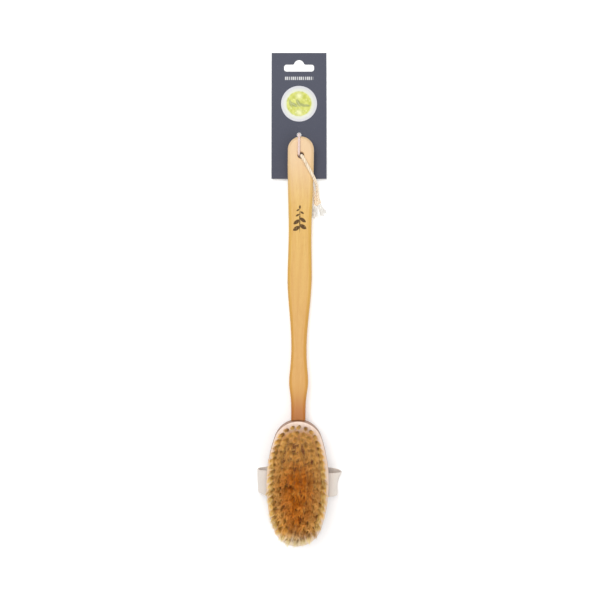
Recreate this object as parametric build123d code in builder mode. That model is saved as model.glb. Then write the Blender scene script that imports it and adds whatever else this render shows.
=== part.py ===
"""A long-handled body dry brush, lying on its back with the bristles up.

The frame has +Z up and +Y along the handle, away from the head. The origin is the centre of the head
on the surface that the brush lies on, which is the middle of the hand strap's flat underside.

The head is two oval layers of wood, glued: a back block with the socket for the handle, and a plate
that holds the tufts. A webbing strap for the hand loops under the back. The handle's tongue pushes into
the socket. A cord loop for hanging goes through the handle's end, and a tie holds the hang card there.
"""
from build123d import *
import math
import os

# ---------------------------------------------------------------- the head
head_length = 125.5
head_width = 63.0
head_end_radius = 25.0  # of the oval's two ends
plate_thickness = 10.0
face_edge_radius = 1.6
back_edge_radius = 3.2

# ---------------------------------------------------------------- the bristles
side_margin = 7.0  # from the head's edge to the outer ring of tufts
neck_margin = 5.2
far_margin = 11.0
field_end_radius = 19.0  # of the outer ring's two ends
tuft_rings = 4
tuft_pitch = 6.3
tuft_lean = 7.0  # degrees, outwards, of the outer ring
tuft_hole_radius = 1.7
tuft_hole_depth = 8.0
tuft_root_radius = 1.25
tuft_tip_radius = 2.35
tuft_length = 21.0  # above the face
anchor_height = 1.8
anchor_width = 3.2
anchor_thickness = 0.4
anchor_gap = 0.1

# ---------------------------------------------------------------- the hand strap
strap_width = 28.0
strap_thickness = 1.8
strap_middle_y = -2.5
strap_gap = 8.7  # room under the head's back when the strap is pressed flat
strap_tab = 11.0  # held between the two layers, at each side
strap_slack = 0.05  # over, under and beside a tab
staple_length = 10.0
staple_leg = 6.5
staple_wire = 0.5
staple_width = 1.2
staple_slack = 0.05
staple_inset = 5.5  # from the tab's inner end

# ---------------------------------------------------------------- the handle
handle_length = 287.5  # from the head's end to the tip
tip_half_width = 13.3
handle_edge_radius = 3.4
belly_share = 0.46  # where the handle touches the surface that it lies on
tip_rise = 15.0  # of the underside at the tip
shoulder_gap = 0.3
tongue_width = 12.0
tongue_thickness = 6.8
tongue_length = 37.0
tongue_lead = 1.0
socket_floor = 2.4  # wood left under the socket
socket_clearance = 0.15
hang_hole_radius = 3.25
hang_hole_from_tip = 19.0
hang_hole_easing = 0.8

# Share of the handle's length, half width and thickness, from the neck to the start of the round tip.
handle_stations = [
    (0.000, 7.4, 10.0),
    (0.030, 7.4, 10.0),
    (0.077, 8.0, 10.2),
    (0.125, 9.7, 10.6),
    (0.184, 8.7, 10.8),
    (0.247, 7.9, 10.8),
    (0.312, 8.5, 11.0),
    (0.398, 10.7, 11.2),
    (0.484, 12.4, 11.3),
    (0.580, 12.1, 11.2),
    (0.677, 11.7, 11.0),
    (0.800, 12.7, 10.4),
    (0.900, 13.3, 9.8),
]
tip_thickness = 9.0

# ---------------------------------------------------------------- the hang card and its tie
card_width = 57.0
card_length = 131.6
card_thickness = 0.5
card_height = 3.4  # of its underside at the hanging hole, where it lies on the tie's knot
card_below_hole = 21.6  # from the hanging hole's axis to the card's lower edge
card_shift = -1.8
card_turn = 0.55  # degrees
slot_width = 31.4
slot_height = 7.4
slot_corner = 2.8
slot_hump_radius = 5.3
slot_overall_height = 12.2
slot_hump_blend = 2.0
slot_from_top = 7.4
card_hole_radius = 2.5
card_holes_apart = 24.4
label_radius = 18.6
label_thickness = 0.2
label_from_top = 53.3
tie_radius = 1.2
tie_height = 1.26
tie_above_wood = 0.3
tie_hole_bend = 2.2
tie_tip_bend = 3.6
tie_card_bend = 1.3
tie_knot_length = 7.0
tie_knot_width = 5.0
tie_knot_height = 2.8

# ---------------------------------------------------------------- the cord loop
cord_radius = 1.6
cord_hole_bend = 2.6
knot_radius = 4.1
tail_root_radius = 1.3
tail_end_radius = 2.4

# ---------------------------------------------------------------- worked out from those
half_length = head_length / 2
half_width = head_width / 2
back_height = strap_thickness + strap_gap
back_thickness = socket_floor + tongue_thickness + 2 * socket_clearance
joint_height = back_height + back_thickness
face_height = joint_height + plate_thickness
socket_height = back_height + socket_floor
tongue_height = socket_height + socket_clearance
neck_underside = tongue_height + tongue_thickness / 2 - handle_stations[0][2] / 2
tip_y = half_length + handle_length
hole_y = tip_y - hang_hole_from_tip
field_half_width = half_width - side_margin
field_half_length = half_length - (neck_margin + far_margin) / 2
field_y = (far_margin - neck_margin) / 2


def oval(width, length, end, grow=0.0, middle=0.0):
    """A closed oval of four tangent arcs, from its half width, half length and end radius. Its size
    then grows by grow all round. Its centre is at the height middle along Y."""
    side = ((length - end) ** 2 + width**2 - end**2) / (2 * (width - end))
    reach = (end + grow) / (side - end)
    x = reach * (side - width)
    y = (length - end) * (1 + reach)
    with BuildLine() as outline:
        ThreePointArc((x, middle - y), (width + grow, middle), (x, middle + y))
        ThreePointArc((x, middle + y), (0, middle + length + grow), (-x, middle + y))
        ThreePointArc((-x, middle + y), (-width - grow, middle), (-x, middle - y))
        ThreePointArc((-x, middle - y), (0, middle - length - grow), (x, middle - y))
    return outline.wires()[0]


def head_outline(grow=0.0):
    """The head's own oval."""
    return oval(half_width, half_length, head_end_radius, grow)


def ring_places(ring):
    """Where a ring's tufts leave the face, as locations whose Z is the tuft's own axis."""
    inset = ring * field_half_width / tuft_rings
    lean = math.radians(tuft_lean * (1 - ring / tuft_rings))
    places = []
    if ring == tuft_rings:
        row = field_half_length - inset
        count = round(2 * row / tuft_pitch) + 1
        for i in range(count):
            places.append(Location((0, field_y - row + 2 * row * i / (count - 1), face_height)))
        return places
    path = oval(field_half_width, field_half_length, field_end_radius, -inset, field_y)
    count = round(path.length / tuft_pitch)
    for i in range(count):
        share = (i + 0.5 * (ring % 2)) / count
        point = path.position_at(share)
        along = path.tangent_at(share)
        outward = Vector(along.Y, -along.X, 0)
        if outward.dot(Vector(point.X, point.Y - field_y, 0)) < 0:
            outward = outward * -1
        axis = outward * math.sin(lean) + Vector(0, 0, math.cos(lean))
        places.append(Plane(origin=(point.X, point.Y, face_height), z_dir=axis).location)
    return places


def has_room(place, taken):
    """Whether a tuft can stand there beside those already placed."""
    return all((place.position - other.position).length > 2 * tuft_tip_radius for other in taken)


def along_axis(places, distance):
    """The same places, moved that far along each tuft's axis."""
    return [place * Location((0, 0, distance)) for place in places]


def underside(share):
    """Height of the handle's underside: it drops from the neck to the belly in a smooth step, then
    rises to the tip as a shallow parabola."""
    if share < belly_share:
        return neck_underside * (1 + math.cos(math.pi * share / belly_share)) / 2
    return tip_rise * ((share - belly_share) / (1 - belly_share)) ** 2


def cord_path(points, tight=None):
    """Straight runs joined by tangent arcs. Each arc is as large as its two runs allow, apart from the
    corners named in tight, which go round the edge of a hole."""
    tight = tight or {}
    radii = []
    for i in range(1, len(points) - 1):
        before = Vector(points[i]) - Vector(points[i - 1])
        after = Vector(points[i + 1]) - Vector(points[i])
        half_turn = math.radians(before.get_angle(after)) / 2
        largest = 0.45 * min(before.length, after.length) / math.tan(half_turn)
        radii.append(tight.get(i, largest))
    print("cord radii", [round(r, 1) for r in radii])
    return FilletPolyline(*points, radius=radii)


os.makedirs("parts", exist_ok=True)
tuft_places = []
all_places = []
for ring in range(tuft_rings + 1):
    ring_kept = []
    for place in ring_places(ring):
        if has_room(place, all_places):
            ring_kept.append(place)
            all_places.append(place)
    tuft_places.append(ring_kept)

# ---------------------------------------------------------------- the strap's route and its staples
tab_height = joint_height - 2 * strap_slack - staple_wire - strap_thickness
strap_middle = tab_height + strap_thickness / 2
strap_low = strap_thickness / 2
tab_inner = half_width - strap_tab
staple_x = tab_inner + staple_inset
staple_top = joint_height - strap_slack
staple_places = [
    (side * staple_x, strap_middle_y + end * strap_width / 4) for side in (-1, 1) for end in (-1, 1)
]


def staple_cutter(slack):
    """The slots that the staples' legs take in the strap and in the wood, or the staples' own legs."""
    leg_reach = (staple_length - staple_wire) / 2
    with BuildPart() as legs:
        with Locations(*[(x, y + end * leg_reach, staple_top) for x, y in staple_places for end in (-1, 1)]):
            Box(
                staple_width + 2 * slack,
                staple_wire + 2 * slack,
                staple_leg + slack,
                align=(Align.CENTER, Align.CENTER, Align.MAX),
            )
    return legs.part


# ---------------------------------------------------------------- back block
with BuildPart() as head_back:
    with BuildSketch(Plane.XY.offset(back_height)):
        add(head_outline())
        make_face()
    extrude(amount=back_thickness)
    fillet(head_back.faces().sort_by(Axis.Z)[0].edges(), back_edge_radius)
    with BuildSketch(Plane.XY.offset(socket_height)):
        with Locations((0, half_length - tongue_length - socket_clearance)):
            Rectangle(
                tongue_width + 2 * socket_clearance,
                head_length,
                align=(Align.CENTER, Align.MIN),
            )
    extrude(amount=back_thickness, mode=Mode.SUBTRACT)
    with BuildSketch(Plane.XY.offset(tab_height - strap_slack)):
        for side in (-1, 1):
            with Locations((side * (tab_inner - strap_slack + head_width / 2), strap_middle_y)):
                Rectangle(head_width, strap_width + 4 * strap_slack)
    extrude(amount=back_thickness, mode=Mode.SUBTRACT)
    add(staple_cutter(staple_slack), mode=Mode.SUBTRACT)
head_back.part.label = "head_back"

# ---------------------------------------------------------------- plate that holds the tufts
with BuildPart() as bristle_plate:
    with BuildSketch(Plane.XY.offset(joint_height)):
        add(head_outline())
        make_face()
    extrude(amount=plate_thickness)
    fillet(bristle_plate.faces().sort_by(Axis.Z)[-1].edges(), face_edge_radius)
    with Locations(*along_axis(all_places, 1.0)):
        Hole(radius=tuft_hole_radius, depth=tuft_hole_depth + 1.0)
bristle_plate.part.label = "bristle_plate"

# ---------------------------------------------------------------- tufts, ring by ring, and their anchors
tuft_root = tuft_hole_depth - 2 * anchor_gap - anchor_height
tuft_parts = []
for number, places in enumerate(tuft_places, start=1):
    with BuildPart() as tufts:
        with Locations(*along_axis(places, -tuft_root)):
            Cone(
                bottom_radius=tuft_root_radius,
                top_radius=tuft_tip_radius,
                height=tuft_root + tuft_length,
                align=(Align.CENTER, Align.CENTER, Align.MIN),
            )
    tufts.part.label = f"tuft_ring_{number}"
    tuft_parts.append(tufts.part)

with BuildPart() as tuft_anchors:
    with Locations(*along_axis(all_places, anchor_gap - tuft_hole_depth)):
        Box(
            anchor_thickness,
            anchor_width,
            anchor_height,
            align=(Align.CENTER, Align.CENTER, Align.MIN),
        )
tuft_anchors.part.label = "tuft_anchors"

# ---------------------------------------------------------------- hand strap, pressed flat under the head
with BuildPart() as hand_strap:
    with BuildLine(Plane.XZ.offset(-strap_middle_y)) as strap_route:
        Line((tab_inner, strap_middle), (half_width, strap_middle))
        SagittaArc(
            (half_width, strap_middle),
            (half_width, strap_low),
            (strap_middle - strap_low) / 2,
        )
        Line((half_width, strap_low), (-half_width, strap_low))
        SagittaArc(
            (-half_width, strap_low),
            (-half_width, strap_middle),
            (strap_middle - strap_low) / 2,
        )
        Line((-half_width, strap_middle), (-tab_inner, strap_middle))
    with BuildSketch(
        Plane(origin=(tab_inner, strap_middle_y, strap_middle), x_dir=(0, 1, 0), z_dir=(1, 0, 0))
    ):
        Rectangle(strap_width, strap_thickness)
    sweep(path=strap_route.wires()[0])
    add(staple_cutter(staple_slack), mode=Mode.SUBTRACT)
hand_strap.part.label = "hand_strap"

with BuildPart() as strap_staples:
    with Locations(*[(x, y, staple_top) for x, y in staple_places]):
        Box(
            staple_width,
            staple_length,
            staple_wire,
            align=(Align.CENTER, Align.CENTER, Align.MAX),
        )
    add(staple_cutter(0))
strap_staples.part.label = "strap_staples"

# ---------------------------------------------------------------- handle
station_y = [half_length + share * handle_length for share, _, _ in handle_stations]
neck_y = half_length - head_end_radius / 4  # the shoulder is cut back from here to the head's end
edge_points = [(half, y) for (_, half, _), y in zip(handle_stations, station_y)]
low_points = [(y, underside(share)) for (share, _, _), y in zip(handle_stations, station_y)]
low_points.append((tip_y, underside(1.0)))
high_points = [
    (y, underside(share) + thick) for (share, _, thick), y in zip(handle_stations, station_y)
]
high_points.append((tip_y, underside(1.0) + tip_thickness))
tip_slope = (2 * tip_rise, (1 - belly_share) * handle_length)

with BuildPart() as handle:
    with BuildSketch(Plane.XY):
        with BuildLine():
            Line((0, neck_y), (edge_points[0][0], neck_y))
            Line((edge_points[0][0], neck_y), edge_points[0])
            Spline(
                *edge_points,
                (tip_half_width, tip_y - tip_half_width),
                tangents=[(0, 1), (0, 1)],
            )
            ThreePointArc(
                (tip_half_width, tip_y - tip_half_width),
                (tip_half_width * math.sin(math.pi / 4), tip_y - tip_half_width * (1 - math.cos(math.pi / 4))),
                (0, tip_y),
            )
            mirror(about=Plane.YZ)
        make_face()
    extrude(amount=back_height + tip_rise + 4 * tip_thickness)
    with BuildSketch(Plane.YZ):
        with BuildLine():
            Line((neck_y, low_points[0][1]), low_points[0])
            Spline(*low_points, tangents=[(1, 0), (tip_slope[1], tip_slope[0])])
            Line(low_points[-1], high_points[-1])
            Spline(*high_points, tangents=[(1, 0), (tip_slope[1], tip_slope[0])])
            Line(high_points[0], (neck_y, high_points[0][1]))
            Line((neck_y, high_points[0][1]), (neck_y, low_points[0][1]))
        make_face()
    extrude(amount=2 * tip_half_width, both=True, mode=Mode.INTERSECT)
    broad_faces = handle.faces().filter_by(lambda f: abs(f.normal_at(None).Z) > 0.9)
    fillet(
        broad_faces.edges().filter_by(lambda e: e.center().Y > neck_y + 0.1),
        handle_edge_radius,
    )
    with Locations((0, hole_y, 0)):
        Cylinder(hang_hole_radius, 4 * tip_half_width, mode=Mode.SUBTRACT)
    rim_edges = handle.edges().filter_by(
        lambda e: (Vector(e.center().X, e.center().Y, 0) - Vector(0, hole_y, 0)).length
        < hang_hole_radius + 0.05
        and e.geom_type != GeomType.LINE
    )
    fillet(rim_edges, hang_hole_easing)
    with BuildSketch(Plane.XY):
        add(head_outline(shoulder_gap))
        make_face()
    extrude(amount=face_height, mode=Mode.SUBTRACT)
    with BuildSketch(Plane.XY.offset(tongue_height)) as tongue_plan:
        with Locations((0, half_length - tongue_length)):
            Rectangle(
                tongue_width,
                tongue_length + station_y[1] - half_length,
                align=(Align.CENTER, Align.MIN),
            )
        chamfer(tongue_plan.vertices().group_by(Axis.Y)[0], tongue_lead)
    extrude(amount=tongue_thickness)
handle.part.label = "handle"

# ---------------------------------------------------------------- cord loop, knot and frayed tails
# Each point is given from the hanging hole's axis, with its height above the surface. The route starts in
# the knot, comes over the handle's edge to the hole, goes down through it and back under the handle.
cord_points = [
    (18.4, -43.0, 5.2),
    (17.2, -37.0, 6.8),
    (17.0, -30.4, 11.4),
    (13.8, -23.2, 19.2),
    (7.4, -12.4, 22.8),
    (0.9, -0.9, 24.3),
    (0.9, -0.9, 6.0),
    (5.0, -10.2, 6.1),
    (9.2, -20.4, 6.7),
    (12.4, -31.0, 5.4),
    (15.4, -43.4, 3.3),
]
cord_tight = {5: cord_hole_bend, 6: cord_hole_bend}
knot_centre = (17.4, -45.4, knot_radius)
tails = [
    ((15.8, -46.8, knot_radius), (14.0, -60.6, tail_end_radius)),
    ((19.2, -46.4, knot_radius), (24.6, -58.4, tail_end_radius)),
]


def from_hole(point):
    """A point given from the hanging hole's axis, in the brush's frame."""
    return (point[0], hole_y + point[1], point[2])


with BuildPart() as cord_loop:
    with BuildLine() as cord_route:
        cord_path([from_hole(p) for p in cord_points], cord_tight)
    with BuildSketch(Plane(cord_route.line @ 0, z_dir=cord_route.line % 0)):
        Circle(cord_radius)
    sweep()
cord_loop.part.label = "cord_loop"

with BuildPart() as cord_knot:
    with Locations(from_hole(knot_centre)):
        Sphere(knot_radius)
    add(cord_loop.part, mode=Mode.SUBTRACT)
cord_knot.part.label = "cord_knot"

with BuildPart() as cord_tails:
    for root, end in tails:
        start = Vector(from_hole(root))
        run = Vector(from_hole(end)) - start
        with BuildSketch(Plane(start, z_dir=run)):
            Circle(tail_root_radius)
        with BuildSketch(Plane(start + run, z_dir=run)):
            Circle(tail_end_radius)
        loft()
    with Locations(from_hole(knot_centre)):
        Sphere(knot_radius, mode=Mode.SUBTRACT)
cord_tails.part.label = "cord_tails"

# ---------------------------------------------------------------- hang card and round label
# The card's own frame is at the hanging hole, turned and shifted as the card lies. Its top edge rests on
# the surface.
turn = math.radians(card_turn)
card_top_y = card_length - card_below_hole
droop = math.asin(card_height / card_top_y)
card_frame = Plane(
    origin=(card_shift, hole_y, card_height),
    x_dir=(math.cos(turn), math.sin(turn), 0),
    z_dir=(-math.sin(turn) * math.sin(droop), math.cos(turn) * math.sin(droop), math.cos(droop)),
)
slot_low_y = card_top_y - slot_from_top - slot_overall_height
with BuildPart() as hang_card:
    with BuildSketch(card_frame):
        with Locations((0, -card_below_hole)):
            Rectangle(card_width, card_length, align=(Align.CENTER, Align.MIN))
        with BuildSketch(mode=Mode.SUBTRACT) as euro_slot:
            with Locations((0, slot_low_y + slot_height / 2)):
                RectangleRounded(slot_width, slot_height, slot_corner)
            with Locations((0, slot_low_y + slot_overall_height - slot_hump_radius)):
                Circle(slot_hump_radius)
            corners = euro_slot.vertices().filter_by(
                lambda v: abs(v.Y - slot_low_y - slot_height) < 0.01 and abs(v.X) < slot_hump_radius + 0.5
            )
            fillet(corners, slot_hump_blend)
        with Locations((0, 0), (0, card_holes_apart)):
            Circle(card_hole_radius, mode=Mode.SUBTRACT)
    extrude(amount=card_thickness)
hang_card.part.label = "hang_card"

with BuildPart() as card_label:
    with BuildSketch(card_frame.offset(card_thickness)):
        with Locations((0, card_top_y - label_from_top)):
            Circle(label_radius)
    extrude(amount=label_thickness)
card_label.part.label = "card_label"

# ---------------------------------------------------------------- tie that holds the card to the handle
# It comes up through the card's lower hole and the handle's, runs over the tip, and goes down through the
# card's upper hole. Its two ends meet in a flat knot under the card.
tie_low = tie_height
wood_at_hole = underside(1 - hang_hole_from_tip / handle_length) + tip_thickness
wood_at_tip = underside(1.0) + tip_thickness
lower_hole = card_frame.from_local_coords((0, 0, 0))
upper_hole = card_frame.from_local_coords((0, card_holes_apart, 0))
tie_x = lower_hole.X
middle = (lower_hole + upper_hole) / 2
tie_top = wood_at_tip + tie_radius + tie_above_wood
tie_points = [
    (middle.X, middle.Y - 0.5, tie_low),
    (tie_x, hole_y + 0.8, tie_low),
    (tie_x, hole_y + 0.8, wood_at_hole + tie_radius + 2 * tie_above_wood + 0.4),
    (upper_hole.X, tip_y + tie_radius + tie_above_wood, tie_top),
    (upper_hole.X, upper_hole.Y, tie_low),
    (middle.X, middle.Y + 0.5, tie_low),
]
tie_tight = {1: tie_card_bend, 2: tie_hole_bend, 3: tie_tip_bend, 4: tie_card_bend}
with BuildPart() as card_tie:
    with BuildLine() as tie_route:
        cord_path(tie_points, tie_tight)
    with BuildSketch(Plane(tie_route.line @ 0, z_dir=tie_route.line % 0)):
        Circle(tie_radius)
    sweep()
card_tie.part.label = "card_tie"

with BuildPart() as tie_knot:
    with BuildSketch(Plane.XY):
        with Locations((middle.X, middle.Y)):
            Ellipse(tie_knot_width / 2, tie_knot_length / 2)
    extrude(amount=tie_knot_height)
    chamfer(tie_knot.edges().group_by(Axis.Z)[-1], 0.4)
    chamfer(tie_knot.edges().group_by(Axis.Z)[0], 0.4)
    add(card_tie.part, mode=Mode.SUBTRACT)
tie_knot.part.label = "tie_knot"

# ---------------------------------------------------------------- files
pieces = [
    head_back.part,
    bristle_plate.part,
    *tuft_parts,
    tuft_anchors.part,
    hand_strap.part,
    strap_staples.part,
    handle.part,
    cord_loop.part,
    cord_knot.part,
    cord_tails.part,
    hang_card.part,
    card_label.part,
    card_tie.part,
    tie_knot.part,
]
for piece in pieces:
    export_step(piece, f"parts/{piece.label}.step")
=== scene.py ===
"""Finishes a long-handled body dry brush on its CAD frame.

The file is laid out as an add-on: property groups hold the sizes and colours, an operator makes each piece,
and a panel lists the operators. Lengths are in metres, in the frame's own axes: +Y runs along the handle away
from the head and +Z is up.
"""

import math

import bpy
import mathutils
import numpy as np
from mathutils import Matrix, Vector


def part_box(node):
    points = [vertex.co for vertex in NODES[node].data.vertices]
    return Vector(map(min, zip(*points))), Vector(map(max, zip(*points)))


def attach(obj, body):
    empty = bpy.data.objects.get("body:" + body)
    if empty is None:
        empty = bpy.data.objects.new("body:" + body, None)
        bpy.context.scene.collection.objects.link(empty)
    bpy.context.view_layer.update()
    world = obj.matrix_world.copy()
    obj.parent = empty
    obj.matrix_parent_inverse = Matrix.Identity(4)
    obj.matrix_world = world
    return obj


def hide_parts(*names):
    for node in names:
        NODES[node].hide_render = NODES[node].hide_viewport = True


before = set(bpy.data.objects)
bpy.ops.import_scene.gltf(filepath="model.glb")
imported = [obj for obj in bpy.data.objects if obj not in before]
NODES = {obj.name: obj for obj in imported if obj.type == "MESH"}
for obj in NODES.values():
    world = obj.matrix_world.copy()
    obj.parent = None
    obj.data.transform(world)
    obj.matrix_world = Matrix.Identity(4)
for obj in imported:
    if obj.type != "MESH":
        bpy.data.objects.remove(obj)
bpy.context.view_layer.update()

bl_info = {
    "name": "Body dry brush finish",
    "version": (1, 0, 0),
    "blender": (4, 5, 0),
    "location": "View3D > Sidebar > Brush",
    "description": "Bristles, webbing, cord, card and wood finishes for a body dry brush",
    "category": "Object",
}

MM = 0.001


def corners(node):
    """A node's lowest and highest corner as arrays."""
    low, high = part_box(node)
    return np.array(low), np.array(high)


HEAD_HIGH = corners("bristle_plate")[1]
HANDLE_HIGH = corners("handle")[1]
STRAP_LOW, STRAP_HIGH = corners("hand_strap")
LABEL_LOW, LABEL_HIGH = corners("card_label")
FACE_HEIGHT = float(HEAD_HIGH[2])
HALF_WIDTH = float(HEAD_HIGH[0])
HALF_LENGTH = float(HEAD_HIGH[1])
# The hanging hole's axis is 19 mm inside the handle's tip.
HANG_HOLE_Y = float(HANDLE_HIGH[1]) - 19 * MM
# The card, and the camera with it, are turned by this about Z.
CARD_TURN = math.radians(0.55)
RINGS = 5

# Linear colours of details that have no property of their own.
# Painted shade on the handle towards the neck, and deeper painted shade with warm bounce at the socket.
NECK_SHADE = (0.54, 0.222, 0.026, 1)
SOCKET_SHADE_AND_BOUNCE = (0.40, 0.11, 0.004, 1)
TIP_WOOD = (0.77, 0.585, 0.42, 1)
PORE_DARK = (0.08, 0.035, 0.012, 1)
# Painted golden bounce light and deep painted shade on the face under the bristles.
BRISTLE_BOUNCE_GOLD = (0.90, 0.47, 0.12, 1)
BRISTLE_SHADE_DEEP = (0.38, 0.10, 0.006, 1)
CREASE_SHADE_AND_BLOTCH_TONE = (0.52, 0.42, 0.34, 1)
BRIGHT_FIBRE = (0.93, 0.91, 0.88, 1)
# Bristle colours by ring: the outer rings' are painted light and the inner rings' painted shade, and the
# roots are painted shade.
LIT_OUTER_ROOT = (0.80, 0.34, 0.045, 1)
SHADED_INNER_MIDDLE = (0.70, 0.165, 0.006, 1)
LIT_OUTER_MIDDLE = (0.94, 0.56, 0.125, 1)
SHADED_INNER_TIP = (0.88, 0.335, 0.035, 1)
PALE_BRISTLE = (0.95, 0.55, 0.13, 1)
DARK_BRISTLE = (0.36, 0.09, 0.006, 1)
# Painted light at the bristle field's two ends.
HANDLE_END_PAINTED_LIGHT = (0.99, 0.66, 0.22, 1)
FAR_END_PAINTED_LIGHT = (0.99, 0.90, 0.62, 1)
WIRE_DARK = (0.42, 0.41, 0.40, 1)
WIRE_BRIGHT = (0.72, 0.71, 0.69, 1)
FRAYED_DARK = (0.86, 0.81, 0.74, 1)
FRAYED_BRIGHT = (0.97, 0.96, 0.93, 1)
CARD_FLECK = (0.24, 0.24, 0.29, 1)
CARD_STROKE = (0.80, 0.80, 0.80, 1)
CARD_CUT_EDGE = (0.36, 0.35, 0.36, 1)
LABEL_LIME = (0.66, 0.68, 0.15, 1)
LABEL_FLECK = (0.90, 0.92, 0.50, 1)
# A painted highlight on the label's green.
LABEL_PAINTED_HIGHLIGHT = (0.90, 0.90, 0.62, 1)
LABEL_HALO = (0.86, 0.90, 0.55, 1)
LEAF_GREEN = (0.17, 0.20, 0.085, 1)
VEIN_GREEN = (0.80, 0.86, 0.42, 1)
FLOOR_DARK = (0.93, 0.93, 0.93, 1)
FLOOR_BRIGHT = (0.95, 0.95, 0.95, 1)


# ---------------------------------------------------------------- properties


def length_property(name, description, default):
    """A length, in metres."""
    return bpy.props.FloatProperty(name=name, description=description, default=default, unit="LENGTH")


def colour_property(name, description, default):
    """An opaque colour, from its linear red, green and blue."""
    return bpy.props.FloatVectorProperty(
        name=name, description=description, default=(*default, 1), subtype="COLOR", size=4
    )


class BrushSizes(bpy.types.PropertyGroup):
    """Sizes of what is made here. What the frame holds keeps the frame's sizes."""

    bristles_per_tuft: bpy.props.IntProperty(
        name="Bristles per tuft", description="Bristles that stand in each hole", default=92, min=8, max=140
    )
    bristle_radius: length_property("Bristle radius", "Radius of a bristle at its root", 0.17 * MM)
    bristle_length: length_property("Bristle length", "From the head's face to the trimmed ends", 21 * MM)
    tuft_root_radius: length_property("Tuft root radius", "Radius of a tuft at its hole", 1.35 * MM)
    tuft_tip_radius: length_property("Tuft tip radius", "Radius of a tuft at its ends", 2.8 * MM)
    strap_thickness: length_property("Strap thickness", "Thickness of the webbing", 1.7 * MM)
    strap_flare: length_property("Strap flare", "How far the strap's right edge opens", 4.0 * MM)
    cord_radius: length_property("Cord radius", "Radius of the hanging cord", 1.6 * MM)
    cord_lay: length_property("Cord lay", "Length of one full turn of the cord's strands", 8.5 * MM)
    tie_radius: length_property("Tie radius", "Radius of the tie that holds the card", 1.2 * MM)
    tail_strands: bpy.props.IntProperty(
        name="Tail strands", description="Yarns in each frayed tail", default=48, min=10, max=300
    )


class BrushColours(bpy.types.PropertyGroup):
    """Colours, as linear values."""

    wood_pale: colour_property("Pale wood", "Handle's early wood", (0.71, 0.445, 0.096))
    wood_deep: colour_property("Deep wood", "Handle's late wood", (0.585, 0.30, 0.040))
    face_pale: colour_property("Face wood", "The head's sanded face", (0.96, 0.82, 0.73))
    # The head's sides, painted darker as painted shade.
    shaded_wall_wood: colour_property("Wall wood", "The head's sides", (0.34, 0.16, 0.07))
    burn: colour_property("Burnt mark", "Branded wood", (0.058, 0.026, 0.011))
    # The inner bristles' root colour, which is painted shade.
    shaded_bristle_root: colour_property("Bristle root", "Bristle near its root", (0.44, 0.11, 0.004))
    bristle_tip: colour_property("Bristle tip", "Bristle at its flagged end", (0.98, 0.78, 0.31))
    webbing: colour_property("Webbing", "Unbleached cotton strap", (0.83, 0.755, 0.68))
    cord: colour_property("Cord", "Cotton cord", (0.95, 0.79, 0.56))
    tie: colour_property("Tie", "Cord that ties the card on", (0.84, 0.62, 0.58))
    card: colour_property("Card", "Printed slate grey of the card", (0.054, 0.058, 0.088))
    label_rim: colour_property("Label rim", "The label's pale border", (0.62, 0.62, 0.65))
    label_leaf: colour_property("Label green", "The label's leafy disc", (0.49, 0.52, 0.058))


# ---------------------------------------------------------------- meshes


def write_mesh(name, points, faces, uv=None, values=None):
    """A smooth mesh object from an array of points and a list of face arrays, each (faces, corners).
    uv is one pair per point. values are named floats, one per point."""
    corner_count = sum(part.size for part in faces)
    sizes = np.concatenate([np.full(len(part), part.shape[1], np.int32) for part in faces])
    mesh = bpy.data.meshes.new(name)
    mesh.vertices.add(len(points))
    mesh.vertices.foreach_set("co", np.ascontiguousarray(points, np.float32).ravel())
    corner_points = np.concatenate([part.ravel() for part in faces]).astype(np.int32)
    mesh.loops.add(corner_count)
    mesh.loops.foreach_set("vertex_index", corner_points)
    mesh.polygons.add(len(sizes))
    mesh.polygons.foreach_set("loop_start", np.concatenate([[0], np.cumsum(sizes)[:-1]]).astype(np.int32))
    mesh.polygons.foreach_set("use_smooth", np.ones(len(sizes), bool))
    if uv is not None:
        layer = mesh.uv_layers.new(name="along")
        layer.data.foreach_set("uv", np.ascontiguousarray(uv[corner_points], np.float32).ravel())
    for key, value in (values or {}).items():
        attribute = mesh.attributes.new(key, "FLOAT", "POINT")
        attribute.data.foreach_set("value", np.ascontiguousarray(value, np.float32).ravel())
    mesh.update(calc_edges=True)
    mesh.validate()
    piece = bpy.data.objects.new(name, mesh)
    bpy.context.scene.collection.objects.link(piece)
    return piece


def ring_faces(rows, columns, first=0):
    """Four-sided faces of a grid of rows and columns whose columns close on themselves."""
    row, column = np.meshgrid(np.arange(rows - 1), np.arange(columns), indexing="ij")
    here = first + row * columns + column
    beside = first + row * columns + (column + 1) % columns
    return np.stack([here, beside, beside + columns, here + columns], -1).reshape(-1, 4)


def closed_tube(name, sections, uv=None, values=None):
    """A tube from its sections, (stations, columns, 3), with a pole closing each end."""
    rows, columns = sections.shape[:2]
    points = np.concatenate([sections.reshape(-1, 3), sections[[0, -1]].mean(1)])
    column = np.arange(columns)
    after = (column + 1) % columns
    last = (rows - 1) * columns
    start_fan = np.stack([np.full(columns, rows * columns), after, column], -1)
    end_fan = np.stack([np.full(columns, rows * columns + 1), last + column, last + after], -1)
    if uv is not None:
        uv = np.concatenate([uv.reshape(-1, 2), uv[[0, -1], 0]])
    if values is not None:
        values = {key: np.concatenate([v.ravel(), v[[0, -1], 0]]) for key, v in values.items()}
    return write_mesh(name, points, [ring_faces(rows, columns), start_fan, end_fan], uv, values)


def unit(vectors):
    """Each vector divided by its own length."""
    return vectors / np.linalg.norm(vectors, axis=-1, keepdims=True)


def arc_lengths(line):
    """Distance along a line of points, from its first point to each."""
    return np.concatenate([[0], np.cumsum(np.linalg.norm(np.diff(line, axis=0), axis=1))])


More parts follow.
